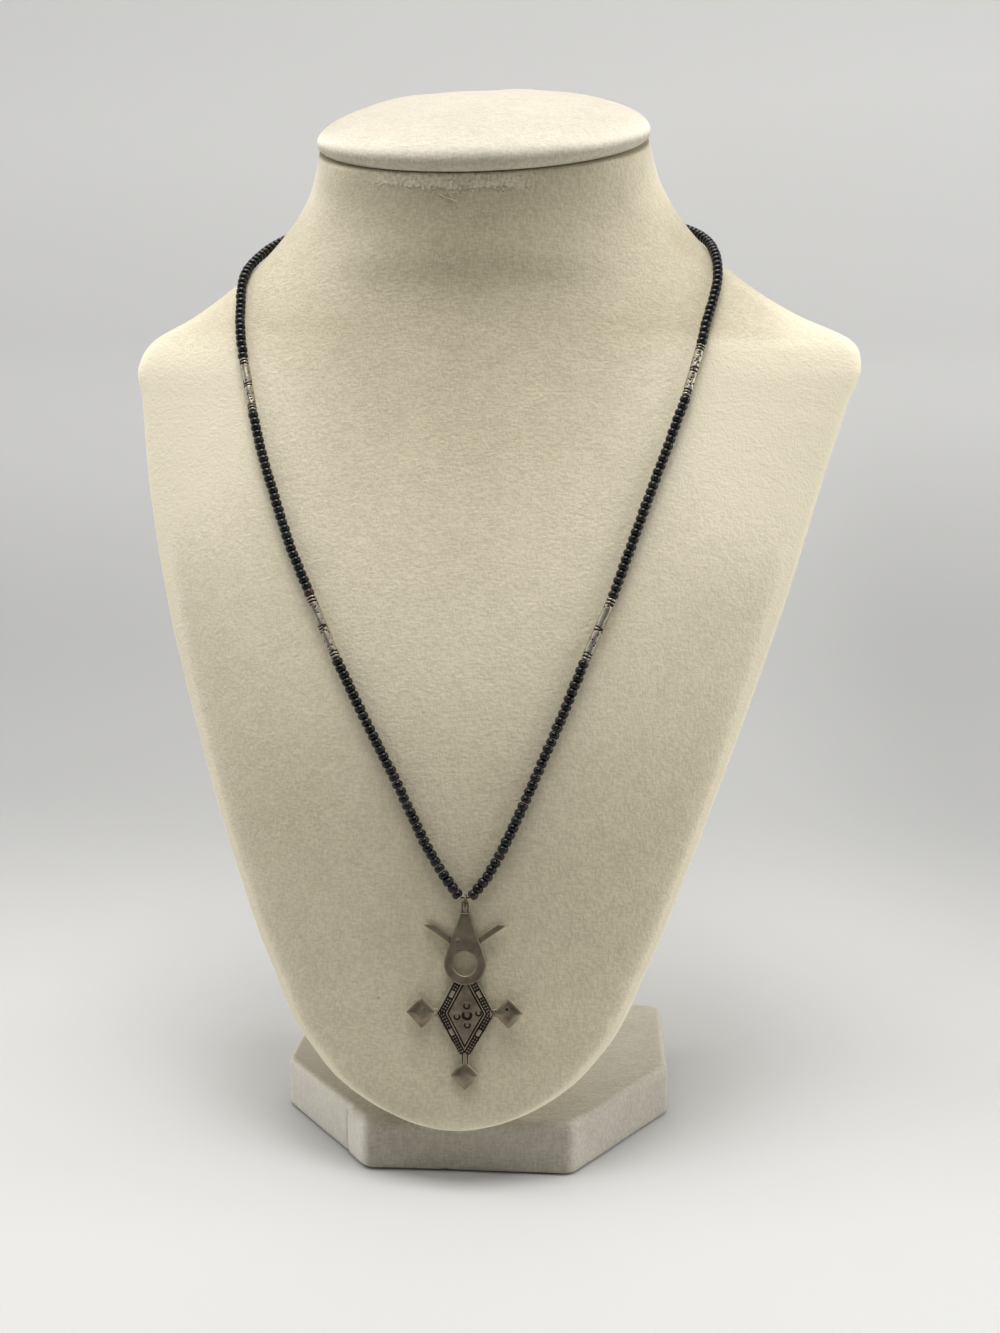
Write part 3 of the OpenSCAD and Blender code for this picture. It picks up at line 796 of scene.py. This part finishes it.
def tube_mesh(start, end, seed):
    """A tube from start to end with a plain bore, and how deep each of its points is cut.

    Its outer radius is radius - depth * cut, where cut is exp(-(distance / width)^2) of the nearest
    filed ring or small round pit, on a skin with shallow dents."""
    chance = np.random.default_rng(seed)
    reach = np.linalg.norm(end - start)
    way = (end - start) / reach
    length = reach - 2 * tube_gap
    a = turns(tube_sides)
    s = np.concatenate([[0.0, 0.06], np.linspace(0.2, length - 0.2, 190), [length - 0.06, length]])[:, None]
    cut = np.zeros((len(s), tube_sides))
    for share, offset, slant in filed_rings:
        wander = slant * np.cos(a + chance.uniform(0, 6)) + 0.05 * np.cos(2 * a + chance.uniform(0, 6))
        strength = 1 + 0.3 * np.cos(a + chance.uniform(0, 6))
        cut = np.maximum(cut, strength * ridge(s - share * length - offset - wander, groove_width))
    for _ in range(tube_pits):
        at, facing = chance.uniform(1.0, length - 1.0), chance.uniform(0, 2 * math.pi)
        size = chance.uniform(0.16, 0.32)
        beside = tube_radius * (np.mod(a - facing + math.pi, 2 * math.pi) - math.pi)
        cut = np.maximum(cut, 0.9 * ridge(np.hypot(s - at, beside), size))
    dents = sum(0.025 * np.cos(k * a + chance.uniform(0, 6)) * np.cos(s * 0.35 * k + chance.uniform(0, 6))
                for k in (1, 2, 3))
    rim = 0.16 * np.clip(1 - np.minimum(s, length - s) / 0.2, 0, 1) ** 2
    outside = tube_radius - worn_down - groove_depth * cut + dents - rim
    bore = np.full((2, tube_sides), tube_bore)
    line = start + way * (tube_gap + np.append(s, [length, 0.0])[:, None])
    points = around(line, *square_to(way, upright), np.concatenate([outside, bore]), a)
    faces = quads(len(line), tube_sides, loop=True).tolist()
    return points.reshape(-1, 3), faces, np.append(cut, 0 * bore)


def old_silver(name, bright, dull, dark, shine):
    """Silver with tarnish in its cuts and hollows. The mesh's cut is 1 at the bottom of a cut, and its
    worn is 1 where the metal is rubbed bright. On the cross, cut also carries painted shade, and worn
    carries painted shade and painted highlights too."""
    made = Finish(name)
    place, cut, worn = made.place(), made.mark("cut"), made.mark("worn")
    cloud = made.noise(place, 210.0, 4.0, 0.6)
    rubbed = {"Vector": place, "Scale": (1.0, 1.0, 0.22), "Rotation": (0.2, 0.5, 0.4)}
    scratches = made.noise(made.node("ShaderNodeMapping", values=rubbed), 3200.0, 2.0)
    pits = made.node("ShaderNodeTexVoronoi", values={"Vector": place, "Scale": 900.0})
    pits = pits.ramp(0.10, 0.22, 1.0, 0.0) * made.noise(place, 330.0, 1.0).ramp(0.58, 0.68)
    colour = made.mixed((cloud.ramp(0.38, 0.62, -0.10, 0.10) + worn).clipped(), dull, bright)
    colour = made.mixed((cut.ramp(0.12, 0.5) + pits * 0.7).clipped(), colour, dark)
    return made.surface({"Base Color": colour, "Metallic": 0.85 - cut.ramp(0.1, 0.45) * 0.85,
                         "Roughness": cloud * 0.2 + cut.ramp(0.2, 0.8) * 0.3 + shine,
                         "Specular IOR Level": 0.2,
                         "Normal": made.relief((scratches - pits * 2.0, 0.00004), (cloud, 0.0003))})


worn_silver = old_silver("worn_silver", (0.46, 0.42, 0.34), (0.17, 0.145, 0.110), (0.012, 0.009, 0.007),
                         0.28)
tubes = [("tube_low_left", front_left_route, chest_left_route),
         ("tube_high_left", chest_left_route, back_left_route),
         ("tube_high_right", chest_right_route, back_right_route),
         ("tube_low_right", front_right_route, chest_right_route)]
for seed, (node, below, above) in enumerate(tubes, 31):
    points, faces, cut = tube_mesh(strand_line(below)[0][-1], strand_line(above)[0][0], seed)
    tube = mesh_piece(node + "_silver", points, faces, worn_silver)
    marked(tube, cut=cut * 1.2, worn=0.70 - 0.5 * np.clip(cut, 0, 1))
    fitted(tube, node)

# THREAD
# The dark cotton thread shows only between the two lowest beads, where the jump ring hangs on it.
thread_radius = 0.25
thread_strands, thread_twist = 3, 5.0
thread_inset = 0.3


def thread_mesh(start, end):
    """Twisted thread along a straight run of s: its radius at the angle a is
    radius * (0.85 + 0.15 |cos(strands * (a - twist * s) / 2)|)."""
    way = unit(end - start)
    s = np.linspace(0, np.linalg.norm(end - start), 60)[:, None]
    a = turns(24)
    radius = thread_radius * (0.85 + 0.15 * np.abs(np.cos(thread_strands * (a - thread_twist * s) / 2)))
    return stacked(around(start + s * way, *square_to(way, upright), radius, a))


def dark_cotton():
    made = Finish("dark_cotton")
    fluff = made.noise(made.place(), 2500.0, 3.0)
    return made.surface({"Base Color": made.mixed(fluff, (0.012, 0.010, 0.009), (0.04, 0.034, 0.030)),
                         "Roughness": 0.95, "Normal": made.relief((fluff, 0.00006))})


start, end = [strand_line(route)[0][0] for route in (front_left_route, front_right_route)]
inset = thread_inset * unit(end - start)
thread = mesh_piece("thread_cotton", *thread_mesh(start + inset, end - inset), dark_cotton())
fitted(thread, "thread")

# CROSS
# The pendant is one cast plate with the wire loop soldered in: a plain teardrop with a hole, an
# engraved diamond, two wings and three small blunt pyramids. Tarnish fills every cut and corner.
cross_side, cross_level = -1.2, 67.0
rest_levels, rest_turn = (31.0, 82.0), 2.0
chest_gap = 0.35
hang_turn = math.radians(1.0)
drop_radius, drop_top, drop_top_half, drop_thick = 6.2, 15.0, 1.2, 1.6
hole_radius = 3.5
inner_round, outer_round = 0.22, 0.30
diamond_thick = 1.3
loop_half, loop_top, loop_wire, loop_foot = 0.85, 18.3, 0.3, 14.5
ring_radius, ring_wire = 1.8, 0.25
ring_place = (0.15, 18.65, 1.9)
# angle at which the jump ring is split, the wire's run round it, and how far its ends spring apart
ring_split, ring_run, ring_spring = math.radians(101), math.radians(358), 0.12


def hung(points):
    """Plate points (x, y up the plate, z to the viewer) as they hang: turned by hang_turn in the
    plate's own plane, then leaned back along the chest and moved to the cross's place."""
    foot, head = [form_at(level, rest_turn) for level in rest_levels]
    slope = (head[1] - foot[1]) / (head[2] - foot[2])
    lean = math.atan(slope)
    depth = foot[1] + (cross_level - rest_levels[0]) * slope - chest_gap / math.cos(lean)
    x, y = turned(points[..., 0], points[..., 1], hang_turn)
    y, z = turned(y, points[..., 2], math.pi / 2 - lean)
    return np.stack([cross_side + x, depth + y, cross_level + z], -1)


def even_noise(x, y, seed, scale):
    """The unevenness of hand work, from -1 to 1: the mean of six plane waves of unlike directions and
    near-equal lengths."""
    chance = np.random.default_rng(seed)
    turn, phase = chance.uniform(0, math.pi, (2, 6))
    stretch = chance.uniform(0.7, 1.5, 6) / scale
    return sum(np.sin((x * math.cos(turn[k]) + y * math.sin(turn[k])) * stretch[k] + 2 * phase[k])
               for k in range(6)) / 6


# angle at which the teardrop's straight sides touch its circle
meet = (math.atan2(drop_top, drop_top_half)
        - math.acos(drop_radius / math.hypot(drop_top, drop_top_half)))


def drop_reach(a):
    """Outer radius of the teardrop at an angle: the radius on the circle, radius / cos(a - meet) on
    the straight sides, and top / sin(a) across the top."""
    folded = np.where(a > math.pi / 2, math.pi - a, a)
    side = drop_radius / np.maximum(np.cos(np.clip(folded - meet, 0, 1.5)), 0.05)
    top = drop_top / np.maximum(np.sin(folded), 0.05)
    return np.where(folded < meet, drop_radius, np.minimum(side, top))


def teardrop():
    """The teardrop as rings: up the hole's wall, over the face and down the rim. Share is 0 at the
    hole and 1 at the rim, and both edges are rounded by quarter circles."""
    a = np.linspace(-math.pi / 2, 1.5 * math.pi, 4001)
    run = np.hypot(np.diff(drop_reach(a) * np.cos(a)), np.diff(drop_reach(a) * np.sin(a)))
    run = np.append(0.0, np.cumsum(run))
    a = np.interp(np.linspace(0, run[-1], 260, endpoint=False), run, a)
    bend = np.linspace(0, math.pi / 2, 5)
    flat = np.linspace(0, 1, 46)[1:-1]
    wall = np.array([0.0, 0.5, 1.0])
    share = np.concatenate([np.zeros(8), flat, np.ones(8)])[:, None]
    inset = np.concatenate([0 * wall, inner_round * (1 - np.cos(bend)), 0 * flat,
                            -outer_round * (1 - np.sin(bend)), 0 * wall])[:, None]
    height = np.concatenate([wall, drop_thick - inner_round * (1 - np.sin(bend)), 0 * flat + drop_thick,
                             drop_thick - outer_round * (1 - np.cos(bend)), wall[::-1]])[:, None]
    hole = hole_radius + 0.05 * np.sin(2 * a + 0.5) + 0.04 * np.sin(3 * a)
    rim = drop_reach(a)
    first, last = hole + inner_round, rim - outer_round
    across = first + (last - first) * share
    radius = inset + np.where(share == 0, hole, np.where(share == 1, rim, across))
    x, y = radius * np.cos(a), radius * np.sin(a)
    face = height > drop_thick - 0.001
    uneven = 0.06 * even_noise(x, y, 5, 2.2) + 0.025 * even_noise(x, y, 6, 0.7)
    pit = ridge(np.hypot(x + 2.1, (y - 6.6) * 0.8), 0.55)
    scored = 0.4 * ridge(y - 4.1 - 0.05 * x, 0.12) * (np.abs(x) < 2.6)
    z = height + face * (uneven - 0.22 * pit - 0.05 * scored)
    # painted shade: a dark patch left of the hole and a dark band at the top under the loop's feet, laid
    # into cut so it darkens like tarnish
    shadowed = 0.25 * ridge(np.hypot(x + 4.6, y - 1.5), 2.3) + 0.35 * ridge(y - 14.4, 0.5)
    cut = np.clip(0.35 * pit + scored + shadowed * face, 0, 1)
    edge_wear = ridge(1 - share, 0.04) + ridge(share, 0.05)
    # worn also carries painted light: the lower part is pulled darker as painted shade, and the hole's lower
    # lip is made brighter as a painted highlight
    worn = 0.38 + 0.15 * edge_wear + 0.18 * even_noise(x, y, 8, 1.5) - 0.14 * np.clip(-y / 4, 0, 1)
    lip_highlight = 0.5 * (share == 0) * (y < -1.5)
    worn = np.clip(np.clip(worn, 0, 1) + lip_highlight, 0, 1)
    faces = quads(*x.shape, loop=True)[:, [0, 3, 2, 1]].tolist()
    return np.stack([x, y, z], -1).reshape(-1, 3), faces, cut.ravel(), worn.ravel()


# corners of the engraved field: top, right, foot, left
field = np.array([[0.15, -4.7], [5.5, -14.6], [-0.1, -24.2], [-5.1, -14.6]])
# place and width of the three lines cut round the field, and the pitch of the strokes between them
engraved_lines = [(0.0, 0.26), (0.78, 0.26), (2.4, 0.27)]
hatch_pitch = 0.92
# half the share of a side that its plain window takes, and where the side corners' cells begin
window_half, cell_side = 0.105, 7.3
# place and radius of each crescent punched in the field
punches = [(0.6, -15.0, 1.35), (0.6, -15.0, 1.0), (0.5, -12.3, 0.8), (-2.4, -15.5, 0.8),
           (4.0, -14.4, 0.75), (0.7, -17.9, 0.8)]
# height up the plate and half width of the diamond, down to the neck of its foot pyramid
diamond_outline = np.array([[-5.6, 3.8], [-5.8, 3.9], [-13.8, 8.2], [-16.2, 8.2], [-20.0, 5.5],
                            [-24.2, 2.9], [-27.0, 1.3], [-30.6, 1.2]])
# where the diamond's face ends and the neck below it begins
neck_top = -26.5
# how bright the plain backs and ends are worn
plain_wear = 0.4


def engraving(x, y):
    """Depth of the engraver's cuts, from 0 to 1, and how bright the metal is worn.

    t is the distance outside the field's nearest side and s the distance along that side. Lines run at
    the t of each engraved line. Between the last two, strokes cross at each hatch_pitch of s."""
    sides = np.roll(field, -1, 0) - field
    lengths = np.linalg.norm(sides, axis=1)
    along = sides / lengths[:, None]
    dx, dy = x[..., None] - field[:, 0], y[..., None] - field[:, 1]
    outside = dy * along[:, 0] - dx * along[:, 1]
    near = np.argmax(outside, -1)[..., None]
    t = np.take_along_axis(outside, near, -1)[..., 0]
    s = np.take_along_axis(dx * along[:, 0] + dy * along[:, 1], near, -1)[..., 0]
    length = lengths[near[..., 0]]
    from_middle = np.abs(s / length - 0.5)
    t = t + 0.07 * even_noise(x, y, 21, 1.3)
    s = s + 0.10 * even_noise(x, y, 22, 1.1)
    lines = np.max([ridge(t - at, width) for at, width in engraved_lines], 0)
    band = (t > 0.8) & (t < 2.4)
    strokes = ridge(np.abs(s / hatch_pitch % 1 - 0.5) * hatch_pitch, 0.25) * ((t > 0.85) & (t < 2.35))
    middle = 0.85 * ridge(t - 1.6, 0.19) * (t > 0.8)
    past_cell = np.abs(x) - cell_side
    window = (from_middle < window_half) & (t > 0.9) & (t < 2.3)
    cell = (past_cell > 0.1) & (t < 2.3)
    hatched = np.where(window | cell, 0, np.maximum(strokes, middle))
    window_lines = ridge((from_middle - window_half) * length, 0.14) * band
    cell_lines = ridge(past_cell, 0.15) * band
    cut = np.max([np.where(cell & (t > 0.3), 0, lines), hatched, window_lines, cell_lines], 0)
    cut = cut * np.clip(0.9 + 0.4 * even_noise(x, y, 23, 1.7), 0.5, 1.0)
    for px, py, radius in punches:
        away = np.hypot(x - px, y - py)
        open_top = 0.55 - 0.5 * (y - py) / np.maximum(away, 0.05)
        cut = np.maximum(cut, np.clip(open_top * 1.8, 0, 1) * ridge(away - radius, 0.25))
    inside = np.clip((-0.1 - t) / 0.3, 0, 1)
    worn = 0.50 - 0.16 * inside + 0.25 * ((t > 0.15) & (t < 0.6)) + 0.3 * (window | cell) + 0.15 * (t > 2.5)
    return np.where(y > neck_top, cut, ridge(np.abs(x) - 0.8, 0.14)), worn


def plate(rings, cut, worn):
    """A stack of rings, with how deep each point is cut and how bright it is worn. Its ends are uncut."""
    cut, worn = [np.broadcast_to(values, rings.shape[:2]) for values in (cut, worn)]
    return *stacked(rings), np.append(cut, [0.0, 0.0]), np.append(worn, [plain_wear, plain_wear])


def diamond():
    """The diamond as cross-sections down the plate. Each is a row of face points at share u of the
    half width, then a few points round its plain back."""
    y = np.append(np.linspace(-5.6, -27.0, 210), np.linspace(-27.0, -30.6, 24)[1:])[:, None]
    half = np.interp(-y, -diamond_outline[:, 0], diamond_outline[:, 1])
    half = half + 0.04 * np.sin(y * 1.9) + 0.03 * np.sin(y * 4.7 + 1)
    x = np.linspace(-1, 1, 151) * half
    y = np.broadcast_to(y, x.shape)
    cut, worn = engraving(x, y)
    edge = np.clip(1 - (half - np.abs(x)) / 0.32, 0, 1)
    z = diamond_thick - 0.3 * (1 - np.sqrt(1 - edge**2 * 0.98)) - 0.20 * cut * (edge < 0.6)
    z = z + 0.04 * even_noise(x, y, 31, 1.8) * (1 - edge)
    worn = np.clip(worn + 0.3 * ridge(edge - 0.7, 0.3) + 0.15 * even_noise(x, y, 33, 1.0), 0, 1)
    back_x = half * [1.0, 0.98, 0.4, -0.4, -0.98, -1.0]
    back_z = 0 * back_x + [0.12, 0.0, 0.0, 0.0, 0.0, 0.12]
    back = np.stack([back_x, y[:, :6], back_z], -1)
    rings = np.concatenate([np.stack([x, y, z], -1), back], 1)
    plain = 0 * back_x
    return plate(rings, np.concatenate([cut, plain], 1), np.concatenate([worn, plain + plain_wear], 1))


# place of each pyramid, its size, its dent and how dark the dent is
pyramids = [(-12.8, -14.4, 1.07, (0.8, 1.0), 0.35), (12.9, -14.4, 1.05, (-0.5, 1.3), 0.9),
            (0.0, -32.8, 1.0, (0.9, -0.6), 0.3)]
pyramid_reach, pyramid_bevel = 4.3, 1.9
pyramid_shoulder, pyramid_rise = 1.15, 0.60


def pyramid(px, py, size, dent, depth):
    """A square standing on its corner, as rings: |x| = reach * cos(a)^2 and |y| = reach * sin(a)^2.
    Its rounded edge rises by rise * (1 - (1 - inset / bevel)^2) to a flat top."""
    a = turns(120)
    share = np.append([0.97, 1.0, 1.0], 1 - np.linspace(0, 1, 30)[:-1])[:, None]
    x, y = [share * size * pyramid_reach * np.sign(c) * c**2 for c in (np.cos(a), np.sin(a))]
    inset = (1 - share) * pyramid_reach / math.sqrt(2)
    up = np.clip(inset / pyramid_bevel, 0, 1)
    hollow = depth * ridge(np.hypot(x - dent[0], y - dent[1]), 0.45)
    z = pyramid_shoulder + pyramid_rise * (1 - (1 - up) ** 2) + 0.05 * even_noise(x, y, int(px) + 40, 1.1)
    z = z - 0.30 * hollow
    z[:3] = [[0.0], [0.06], [0.95]]
    # painted highlight: the upper right bevel, where the light falls, is made brighter through worn
    lit = np.clip((x + y) / pyramid_reach, 0, 1) * ridge(inset, 0.45)
    worn = np.clip(0.32 + 0.7 * lit + 0.3 * even_noise(x, y, int(px) + 50, 0.9), 0, 1)
    return plate(np.stack([x + px, y + py, z], -1), np.clip(hollow * 1.1, 0, 1), worn)


# start, end, half width, thickness and slant of the far end, for the wings and the pyramids' necks
bars = [((-2.9, 5.9), (-10.9, 11.4), (0.95, 0.95), 1.3, 1.3),
        ((2.9, 5.9), (10.9, 11.4), (0.85, 0.85), 1.3, -0.9),
        ((-7.6, -14.6), (-10.2, -14.4), (1.2, 1.1), 1.1, 0.0),
        ((7.6, -14.4), (10.2, -14.4), (1.2, 1.1), 1.1, 0.0)]
bar_squareness = 7


def bar(start, end, halves, thick, slant):
    """A flat bar as cross-sections along it, |x|^n + |y|^n = 1 with n = 7, its far end cut on a slant."""
    start, end = np.array(start), np.array(end)
    reach = np.linalg.norm(end - start)
    way = (end - start) / reach
    s = np.concatenate([[0.0, 0.02], np.linspace(0.05, 0.95, 30), [0.98, 1.0]])[:, None]
    shrink = np.concatenate([[0.90, 0.97], np.ones(30), [0.97, 0.90]])[:, None]
    round_x, round_z = [shrink * np.sign(c) * np.abs(c) ** (2 / bar_squareness)
                        for c in (np.cos(turns(40)), np.sin(turns(40)))]
    across = round_x * (halves[0] + (halves[1] - halves[0]) * s)
    run = s * reach + across * slant * s
    x, y = start[0] + run * way[0] - across * way[1], start[1] + run * way[1] + across * way[0]
    z = thick / 2 * (1 + round_z)
    z = z + 0.04 * even_noise(x, y, 60, 1.2) * (z > thick / 2)
    worn = 0.35 + 0.35 * ridge(np.abs(across) - halves[1], 0.2) + 0.25 * even_noise(x, y, 61, 0.8)
    return plate(np.stack([x, y, z], -1), 0.7 * ridge(s, 0.18), np.clip(worn, 0, 1))


def wire(line, radius, sides=14):
    """A round wire along a line that lies in one plane, closed at both ends."""
    way = unit(np.gradient(line, axis=0))
    flat = unit(np.cross(way[len(way) // 4], way[len(way) // 2]))
    return stacked(around(line, np.cross(way, flat), flat, radius, turns(sides)))


def facing_out(points, faces):
    """Faces turned outward: the sum of first . (second x third) over a closed mesh's triangles is six
    times its volume."""
    fans = np.array([[face[0], face[k], face[k + 1]] for face in faces for k in range(1, len(face) - 1)])
    first, second, third = points[fans.T]
    volume = (first * np.cross(second, third)).sum()
    return faces if volume > 0 else [face[::-1] for face in faces]


def loop_shell():
    """The wire loop: two legs and a half circle, with solder round its feet."""
    bend = np.linspace(0, math.pi, 24)
    legs = np.linspace(loop_foot, loop_top - loop_half, 6)[:-1]
    x = np.concatenate([np.full(5, loop_half), loop_half * np.cos(bend), np.full(5, -loop_half)])
    y = np.concatenate([legs, loop_top - loop_half * (1 - np.sin(bend)), legs[::-1]])
    points, faces = wire(np.stack([x, y, 0 * x + drop_thick / 2], -1), loop_wire)
    solder = np.clip(1.2 - (points[:, 1] - loop_foot), 0, 1)
    return points, faces, 0.6 * solder, 0.25 - 0.2 * solder


tarnished = old_silver("tarnished_silver", (0.47, 0.405, 0.295), (0.125, 0.10, 0.070),
                       (0.010, 0.007, 0.005), 0.32)
shells = [teardrop(), diamond(), *[pyramid(*p) for p in pyramids], *[bar(*b) for b in bars], loop_shell()]
placed = [(hung(points), faces) for points, faces, _, _ in shells]
points, faces = joined([(points, facing_out(points, faces)) for points, faces in placed])
cross = mesh_piece("cross_silver", points, faces, tarnished)
marked(cross, cut=np.concatenate([cut for _, _, cut, _ in shells]),
       worn=np.concatenate([worn for _, _, _, worn in shells]))
fitted(cross, "cross_pendant")

a = ring_split + np.linspace(0, ring_run, 90)
split = np.stack([np.linspace(-ring_spring, ring_spring, 90), ring_radius * np.cos(a),
                  ring_radius * np.sin(a)], -1)
points, faces = wire(hung(split + ring_place), ring_wire, 16)
ring = mesh_piece("split_ring", points, facing_out(points, faces), tarnished)
marked(ring, cut=np.zeros(len(points)), worn=np.full(len(points), 0.15))
fitted(ring, "jump_ring")
